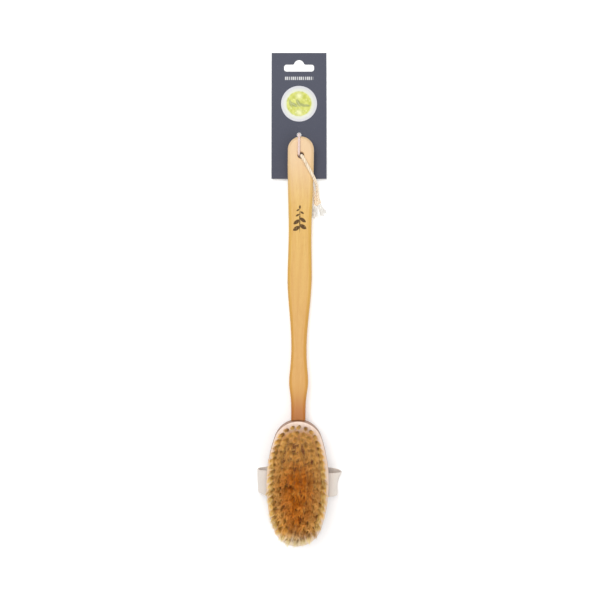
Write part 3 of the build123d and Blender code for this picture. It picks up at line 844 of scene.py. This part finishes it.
class BRUSH_OT_strap(bpy.types.Operator):
    """Weaves the hand strap that loops under the head"""

    bl_idname = "brush.strap"
    bl_label = "Hand strap"

    def route(self, sizes):
        """The strap's middle line in X and Z, from one tab to the other: a straight tab, a half circle, the
        straight underside, a half circle and a straight tab."""
        skin, tab = 0.9 * MM, 10.8 * MM
        low = STRAP_LOW[2] + skin
        high = STRAP_HIGH[2] - skin
        turn = (high - low) / 2
        reach = STRAP_HIGH[0] - skin - turn
        tab_x = np.linspace(HALF_WIDTH - tab, reach, 14, endpoint=False)
        angle = np.linspace(np.pi / 2, -np.pi / 2, 60, endpoint=False)
        x = np.concatenate([tab_x, reach + turn * np.cos(angle), np.linspace(reach, 0, 60)])
        z = np.concatenate([np.full(14, high), (high + low) / 2 + turn * np.sin(angle), np.full(60, low)])
        z = np.maximum(z, sizes.strap_thickness / 2)
        return np.concatenate([x, -x[-2::-1]]), np.concatenate([z, z[-2::-1]])

    def shape(self, sizes):
        """The strap's sections and their map. A section is a flat oval: across by the cosine, and through by
        a tenth-power round-off of it. Outside the head the loops then open, narrow and ripple."""
        left_opening, ripple_size, ripple_length = 0.6 * MM, 0.35 * MM, 9 * MM
        x, z = self.route(sizes)
        line = np.stack([x, np.zeros_like(x), z], -1)
        along = arc_lengths(line)
        side, up = frames_along(line, np.array([0.0, 1.0, 0.0]))
        angle = np.linspace(0, 2 * np.pi, 72, endpoint=False)
        half_width = (STRAP_HIGH[1] - STRAP_LOW[1]) / 2
        across = half_width * np.cos(angle)
        rounded = (1 - np.abs(np.cos(angle)) ** 10) ** 0.35
        through = sizes.strap_thickness / 2 * np.sign(np.sin(angle)) * rounded
        points = line[:, None] + across[:, None] * side[:, None] + through[:, None] * up[:, None]
        points[..., 1] += (STRAP_HIGH[1] + STRAP_LOW[1]) / 2
        # near is the share towards the handle's edge, and far the share towards the other edge.
        share = (across / half_width)[None, :]
        near, far = np.clip(share, 0, 1), np.clip(-share, 0, 1)
        # The right loop opens most at its handle edge, and the left one a little.
        outside = between(np.abs(x), HALF_WIDTH, 7 * MM)[:, None]
        right_opening = sizes.strap_flare * np.clip(share + 0.1, 0, 1) ** 1.3
        opening = np.where(x[:, None] > 0, right_opening, left_opening * share)
        points[..., 0] += np.sign(x)[:, None] * opening * outside
        # The left loop narrows outwards.
        narrowed = between(-x, HALF_WIDTH - 3 * MM, 9 * MM)[:, None]
        points[..., 1] += narrowed * (far * 3.4 * MM - near * 0.8 * MM)
        # The right loop's lower half is pulled towards the handle, so that its inner side shows there.
        lowered = between(STRAP_HIGH[2] - z, 0, STRAP_HIGH[2] - STRAP_LOW[2]) ** 1.5
        pulled = between(x, 0, STRAP_HIGH[0]) * lowered * (1 - 0.9 * between(x, HALF_WIDTH, 9.5 * MM))
        points[..., 1] += 3.0 * MM * pulled[:, None] * np.clip(0.5 + share, 0, 1)
        # It is drawn in where it leaves the head.
        drawn_in = between(x, HALF_WIDTH - 4 * MM, 4 * MM)[:, None]
        points[..., 1] += drawn_in * (far * 1.3 * MM - near * 2.6 * MM)
        ripple = ripple_size * np.sin(along / ripple_length)[:, None] * np.clip(np.abs(share) * 2 - 1, 0, 1)
        points[..., 0] += ripple * outside
        points[..., 2] = np.maximum(points[..., 2], 0.02 * MM)
        uv = np.stack(np.broadcast_arrays(along[:, None] / MM, across[None, :] / MM), -1)
        return points[:, ::-1], uv[:, ::-1], half_width / MM

    def material(self, colours, half_width):
        """Plain weave: ribs across the strap and warp yarns along it, which alternate, as the product of two
        sines on the map. half_width and the sizes here are in the map's mm."""
        rib_size, warp_size = 1.1, 0.8
        material, shader = new_material("cotton_webbing", Roughness=0.88, Sheen_Weight=0.35)
        place = yarn_map(shader)
        split = axes(place)
        rib = maths("SINE", times(split["X"], math.pi / rib_size))
        warp = maths("SINE", times(split["Y"], math.pi / warp_size))
        weave = scaled(times(rib, warp), 0.5, 0.5)
        ridge = scaled(maths("ABSOLUTE", rib), 0.5, times(weave, 0.5))
        selvedge = ramped(maths("ABSOLUTE", split["Y"]), half_width - 1.6, half_width - 1.0)
        # The weave's valleys, and the selvedges a little more, get the yarn group's painted crease shade.
        inputs = {
            "Vector": place,
            "Yarn": tuple(colours.webbing),
            "Crest": maths("SUBTRACT", ridge, times(selvedge, 0.15), clamp=True),
            "Shade": 0.35,
            "Fibres": 3.0,
            "Blotches": 0.0,
        }
        yarn = use_group("Cotton yarn", inputs)
        set_inputs(shader, {"Base Color": yarn["Color"], "Normal": bumped(yarn["Height"], 0.25 * MM, 0.8)})
        return material

    def execute(self, context):
        sections, uv, half_width = self.shape(context.scene.brush_sizes)
        strap = closed_tube("webbing_strap", sections, uv)
        strap.data.materials.append(self.material(context.scene.brush_colours, half_width))
        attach(strap, "head")
        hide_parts("hand_strap")
        return {"FINISHED"}


def cord_material(name, colour, fibres):
    """Twisted cotton: the creases between strands are darkened with painted shade, fine fibres follow the
    twist, and the cotton glows faintly in its own colour as painted light.
    """
    material, shader = new_material(name, Roughness=0.85, Sheen_Weight=0.4, Emission_Strength=0.06)
    inputs = {
        "Vector": yarn_map(shader),
        "Yarn": tuple(colour),
        "Crest": attribute(shader, "crest"),
        "Shade": 0.85,
        "Fibres": fibres,
    }
    yarn = use_group("Cotton yarn", inputs)
    outputs = {
        "Base Color": yarn["Color"],
        "Emission Color": yarn["Color"],
        "Normal": bumped(yarn["Height"], 0.3 * MM, 0.6),
    }
    set_inputs(shader, outputs)
    return material


def hand_over(pieces, body):
    """Puts a cord and its other pieces on a body and hides the nodes they stand for. pieces is a list
    of each piece with the node it stands for, the cord first."""
    for piece, node in pieces:
        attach(piece, body)
        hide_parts(node)


def from_hole(points):
    """Points given in mm from the hanging hole's axis, in the frame, in metres."""
    return np.array(points) * MM + np.array([0, HANG_HOLE_Y, 0])


class BRUSH_OT_cord(bpy.types.Operator):
    """Lays the hanging cord from its knot over the handle, through the hole and back under it"""

    bl_idname = "brush.cord"
    bl_label = "Hanging cord"

    def tail(self, start, end, sizes, random):
        """Frayed yarns from the knot: each runs to its own place in a widening disc, and waves a little."""
        start, end = from_hole(start), from_hole(end)
        axis = unit(end - start)
        side = unit(np.cross(axis, np.array([0.0, 0.0, 1.0])))
        up = np.cross(side, axis)
        count = sizes.tail_strands
        across, angle = scattered(random, count)
        share = np.linspace(0, 1, 8)[None, :, None]
        narrow, widening, wave_size, fall, lowest = 1.0 * MM, 4.6 * MM, 0.8 * MM, 0.9 * MM, 0.25 * MM
        wide = narrow + widening * share**1.2
        waves = random.uniform(4, 9, count)[:, None, None]
        wave = wave_size * np.sin(share * waves + angle[:, None, None]) * share
        offset = across[:, None] * wide + wave
        reach = np.linalg.norm(end - start) * random.uniform(0.78, 1.08, count)[:, None, None] * share
        line = start + axis * reach + side * offset[..., :1] + up * offset[..., 1:] * 0.62
        line[..., 2] = np.maximum(line[..., 2] - fall * share[..., 0], lowest)
        return line

    def execute(self, context):
        sizes = context.scene.brush_sizes
        route = from_hole(
            [
                (18.4, -43.0, 5.2), (17.2, -37.0, 6.8), (17.0, -30.4, 11.4), (13.9, -23.2, 20.0),
                (7.4, -12.4, 24.0), (2.2, -3.4, 25.6), (0.6, -0.6, 24.6), (0.9, -0.9, 12.0),
                (0.9, -0.9, 5.2), (5.0, -10.2, 6.3), (9.2, -20.4, 6.8), (12.4, -31.0, 5.4),
                (15.4, -43.4, 3.3),
            ]
        )
        line = spline_line(route, 0.3 * MM)
        across = np.array([0.88, 0.47, 0.0])
        cord = twisted_cord("twisted_cord", line, across, sizes.cord_radius, sizes.cord_lay)
        material = cord_material("cotton_cord", context.scene.brush_colours.cord, 5.0)
        cord.data.materials.append(material)
        knot_at = knot_line(from_hole((17.4, -45.4, 4.1)), np.array([0.92, 0.98, 0.95]), 120)
        knot = twisted_cord("overhand_knot", knot_at, np.array([0.0, 0.0, 1.0]), 1.35 * MM, sizes.cord_lay)
        knot.data.materials.append(material)
        random = np.random.default_rng(7)
        lines = np.concatenate(
            [
                self.tail((15.8, -46.8, 4.1), (13.6, -61.2, 2.4), sizes, random),
                self.tail((19.0, -46.4, 4.1), (24.8, -58.8, 2.4), sizes, random),
            ]
        )
        count, rows = lines.shape[:2]
        tails = hairs(
            "frayed_tails",
            lines,
            0.27 * MM,
            {
                "share": np.broadcast_to(np.linspace(0, 1, rows), (count, rows)),
                "crest": np.broadcast_to(random.uniform(0.4, 1, count)[:, None], (count, rows)),
            },
        )
        # The frayed yarns glow faintly in their own colour, as painted light.
        constants = {"Roughness": 0.9, "Sheen_Weight": 0.4, "Emission_Strength": 0.09}
        frayed, shader = new_material("frayed_cotton", **constants)
        shade = mixed(attribute(shader, "crest"), FRAYED_DARK, FRAYED_BRIGHT)
        set_inputs(shader, {"Base Color": shade, "Emission Color": shade})
        tails.data.materials.append(frayed)
        pieces = [(cord, "cord_loop"), (knot, "cord_knot"), (tails, "cord_tails")]
        hand_over(pieces, "handle")
        return {"FINISHED"}


class BRUSH_OT_card_tie(bpy.types.Operator):
    """Ties the card to the handle's end through both of its holes"""

    bl_idname = "brush.card_tie"
    bl_label = "Card tie"

    def execute(self, context):
        sizes = context.scene.brush_sizes
        tie_low, tie_high = corners("card_tie")
        knot_low, knot_high = corners("tie_knot")
        x = float((tie_low[0] + tie_high[0]) / 2) / MM
        tip = (float(HANDLE_HIGH[1]) - HANG_HOLE_Y) / MM
        top = float(tie_high[2]) / MM - 1.2
        middle = (float(knot_low[1] + knot_high[1]) / 2 - HANG_HOLE_Y) / MM
        route = from_hole(
            [
                (x, middle - 3.0, 1.3), (x, 0.6, 1.2), (x, 0.8, 8.0), (x, 0.6, top - 2.2),
                (x, 2.2, top - 0.4), (x, 9.0, top - 1.2), (x, tip - 3.6, top + 0.1),
                (x, tip + 0.9, top - 0.4), (x, tip + 2.0, top - 5.0), (x, tip + 3.6, 9.0),
                (x, tip + 5.2, 1.2), (x, middle + 3.0, 1.3),
            ]
        )
        line = spline_line(route, 0.3 * MM)
        tie = twisted_cord("card_tie_cord", line, np.array([1.0, 0.0, 0.0]), sizes.tie_radius, 5.5 * MM)
        material = cord_material("tie_cotton", context.scene.brush_colours.tie, 6.0)
        tie.data.materials.append(material)
        knot_at = knot_line((knot_low + knot_high) / 2, np.array([0.62, 0.85, 0.42]), 100)
        knot = twisted_cord("tie_flat_knot", knot_at, np.array([0.0, 0.0, 1.0]), 0.85 * MM, 4 * MM)
        knot.data.materials.append(material)
        pieces = [(tie, "card_tie"), (knot, "tie_knot")]
        hand_over(pieces, "card")
        return {"FINISHED"}


class BRUSH_OT_card(bpy.types.Operator):
    """Prints the hang card and its round label"""

    bl_idname = "brush.card"
    bl_label = "Card and label"

    def card(self, colours):
        """Matt slate print on board with a plain row of pale strokes under the slot, and paler cut edges."""
        material, shader = new_material("slate_card", Roughness=0.72)
        split = axes(flat_vector(shader, self.middle(), CARD_TURN))
        where = object_coordinates(shader)
        paper = noise(where, 2600.0, 4.0)
        plain = tuple(colours.card)
        # Painted light: the card is painted paler towards +Y, and the same paler colour mottles it at random.
        paler_lit_and_mottled = dimmed(plain, 1.3, 1.3, 1.22)
        colour = mixed(ramped(split["Y"], -80 * MM, 50 * MM), plain, paler_lit_and_mottled)
        colour = tinted(colour, noise(where, 26.0, 2.0), 0.3, paler_lit_and_mottled)
        colour = mixed(ramped(paper, 0.62, 0.8), colour, CARD_FLECK)
        # The strokes: a row of unequal dashes 29 mm long, from two sines of different lengths.
        row = ramped(maths("ABSOLUTE", maths("SUBTRACT", split["Y"], 26.6 * MM)), 1.9 * MM, 1.5 * MM)
        row = times(row, ramped(maths("ABSOLUTE", split["X"]), 14.8 * MM, 14.5 * MM))
        dash = maths("SINE", times(split["X"], 2 * math.pi / (2.05 * MM)))
        uneven = maths("SINE", times(split["X"], 2 * math.pi / (7.7 * MM)))
        row = times(row, ramped(scaled(uneven, 0.45, dash), -0.65, 0.05))
        row = times(row, ramped(upward(shader), 0.2, 0.6))
        colour = tinted(colour, row, 0.78, CARD_STROKE)
        colour = mixed(ramped(maths("ABSOLUTE", upward(shader)), 0.75, 0.45), colour, CARD_CUT_EDGE)
        set_inputs(shader, {"Base Color": colour, "Normal": bumped(paper, 0.04 * MM, 0.5)})
        return material

    def label(self, colours):
        """A pale rim round a soft-edged green disc with a few leaves and their veins, printed on paper."""
        material, shader = new_material("leafy_label", Roughness=0.5, Coat_Weight=0.1)
        place = flat_vector(shader, self.middle(), CARD_TURN)
        radius = vector_maths("LENGTH", place)
        cloud = noise(place, 210.0, 3.0)
        fleck = add_node(shader.id_data, "ShaderNodeTexVoronoi", {"Vector": place, "Scale": 260.0})
        green = mixed(ramped(cloud, 0.35, 0.65), tuple(colours.label_leaf), LABEL_LIME)
        green = tinted(green, ramped(fleck.outputs["Distance"], 0.35, 0.1), 0.35, LABEL_FLECK)
        # Painted highlights: two soft pale spots on the green, above and below the middle.
        for y in (8.4 * MM, -9.2 * MM):
            painted_highlight = ramped(vector_maths("DISTANCE", place, (0, y, 0)), 5.6 * MM, 0.0)
            green = tinted(green, painted_highlight, 0.55, LABEL_PAINTED_HIGHLIGHT)
        leaf = leaves(
            place,
            0.6,
            [
                (-8.6, 0.2, -20, 4.2, 1.5), (-5.2, -1.0, -62, 4.6, 1.7), (-0.6, 0.6, -28, 4.6, 1.9),
                (3.6, -1.4, -66, 4.2, 1.5), (8.2, -1.8, -80, 3.6, 1.1),
            ],
        )
        vein = leaves(
            place,
            0.25,
            [(-8.6, 0.2, -20, 3.8, 0.2), (-5.2, -1.0, -62, 4.2, 0.22), (-0.6, 0.6, -28, 4.2, 0.22)],
        )
        green = tinted(green, leaf, 0.62, LEAF_GREEN)
        green = tinted(green, vein, 0.5, VEIN_GREEN)
        disc = ramped(scaled(cloud, 0.8 * MM, radius), 14.3 * MM, 12.6 * MM)
        rim = tinted(tuple(colours.label_rim), ramped(radius, 17.6 * MM, 14.2 * MM), 0.35, LABEL_HALO)
        normal = bumped(noise(place, 2600.0, 3.0), 0.02 * MM, 0.4)
        set_inputs(shader, {"Base Color": mixed(disc, rim, green), "Normal": normal})
        return material

    def middle(self):
        """The label's middle, in X and Y."""
        return (LABEL_LOW + LABEL_HIGH)[:2] / 2

    def execute(self, context):
        colours = context.scene.brush_colours
        paint("hang_card", self.card(colours))
        paint("card_label", self.label(colours))
        return {"FINISHED"}


class BRUSH_OT_stage(bpy.types.Operator):
    """Makes the pale floor, the soft lights and the camera"""

    bl_idname = "brush.stage"
    bl_label = "Stage"

    def floor(self):
        """A square floor 12 m wide, just under the part, in paper that glows a little."""
        reach, gap = 6.0, 0.02 * MM
        corner = np.array([[-1, -1, 0], [1, -1, 0], [1, 1, 0], [-1, 1, 0]]) * reach
        floor = write_mesh("floor", corner + np.array([0, 0, -gap]), [np.array([[0, 1, 2, 3]])])
        paper, shader = new_material(
            "floor_paper", Roughness=0.9, Emission_Color=(1.0, 1.0, 1.0, 1), Emission_Strength=0.17
        )
        grain = noise(object_coordinates(shader), 3.0, 2.0)
        set_inputs(shader, {"Base Color": mixed(grain, FLOOR_DARK, FLOOR_BRIGHT)})
        floor.data.materials.append(paper)

    def light(self, scene, name, place, aim, size, power):
        """A square lamp at a place, turned towards its aim."""
        light = bpy.data.lights.new(name, "AREA")
        light.shape = "SQUARE"
        light.size = size
        light.energy = power
        holder = bpy.data.objects.new(name, light)
        holder.location = place
        way = mathutils.Vector(aim) - mathutils.Vector(place)
        holder.rotation_euler = way.to_track_quat("-Z", "Y").to_euler()
        scene.collection.objects.link(holder)

    def execute(self, context):
        scene = context.scene
        self.floor()
        world = bpy.data.worlds.new("soft_room")
        world.use_nodes = True
        set_inputs(world.node_tree.nodes["Background"], {"Color": (1.0, 0.995, 0.985, 1), "Strength": 0.46})
        scene.world = world
        middle = (0.0, 0.184, 0.0)
        self.light(scene, "key_light", (-0.26, 0.48, 1.45), middle, 0.9, 13.6)
        self.light(scene, "fill_light", (0.45, -0.20, 1.30), middle, 0.9, 4.6)
        # The camera looks straight down, and sees a square of this width at the floor.
        height, seen = 0.800, 0.624
        lens = bpy.data.cameras.new("camera")
        lens.sensor_width = 36.0
        lens.lens = lens.sensor_width * height / seen
        lens.clip_start = 0.05
        camera = bpy.data.objects.new("camera", lens)
        camera.location = (0.6 * MM, 184.4 * MM, height)
        camera.rotation_euler = (0, 0, CARD_TURN)
        scene.collection.objects.link(camera)
        scene.camera = camera
        scene.view_settings.view_transform = "Standard"
        return {"FINISHED"}


class BRUSH_PT_panel(bpy.types.Panel):
    """Lists the brush's pieces and the stage"""

    bl_idname = "BRUSH_PT_panel"
    bl_label = "Body dry brush"
    bl_space_type = "VIEW_3D"
    bl_region_type = "UI"
    bl_category = "Brush"

    def draw(self, context):
        for operator in PIECES:
            self.layout.operator(operator.bl_idname)
        for key in BrushSizes.__annotations__:
            self.layout.prop(context.scene.brush_sizes, key)
        for key in BrushColours.__annotations__:
            self.layout.prop(context.scene.brush_colours, key)


PIECES = (
    BRUSH_OT_wood,
    BRUSH_OT_bristles,
    BRUSH_OT_wire,
    BRUSH_OT_strap,
    BRUSH_OT_cord,
    BRUSH_OT_card_tie,
    BRUSH_OT_card,
    BRUSH_OT_stage,
)
CLASSES = (BrushSizes, BrushColours, *PIECES, BRUSH_PT_panel)


def register():
    """Registers the classes and hangs the properties on the scene."""
    for item in CLASSES:
        bpy.utils.register_class(item)
    bpy.types.Scene.brush_sizes = bpy.props.PointerProperty(type=BrushSizes)
    bpy.types.Scene.brush_colours = bpy.props.PointerProperty(type=BrushColours)


def unregister():
    """Takes the properties and classes away again."""
    del bpy.types.Scene.brush_colours
    del bpy.types.Scene.brush_sizes
    for item in reversed(CLASSES):
        bpy.utils.unregister_class(item)


def main():
    """Makes every piece in order."""
    register()
    bpy.ops.brush.wood()
    bpy.ops.brush.bristles()
    bpy.ops.brush.wire()
    bpy.ops.brush.strap()
    bpy.ops.brush.cord()
    bpy.ops.brush.card_tie()
    bpy.ops.brush.card()
    bpy.ops.brush.stage()


if __name__ == "__main__":
    main()
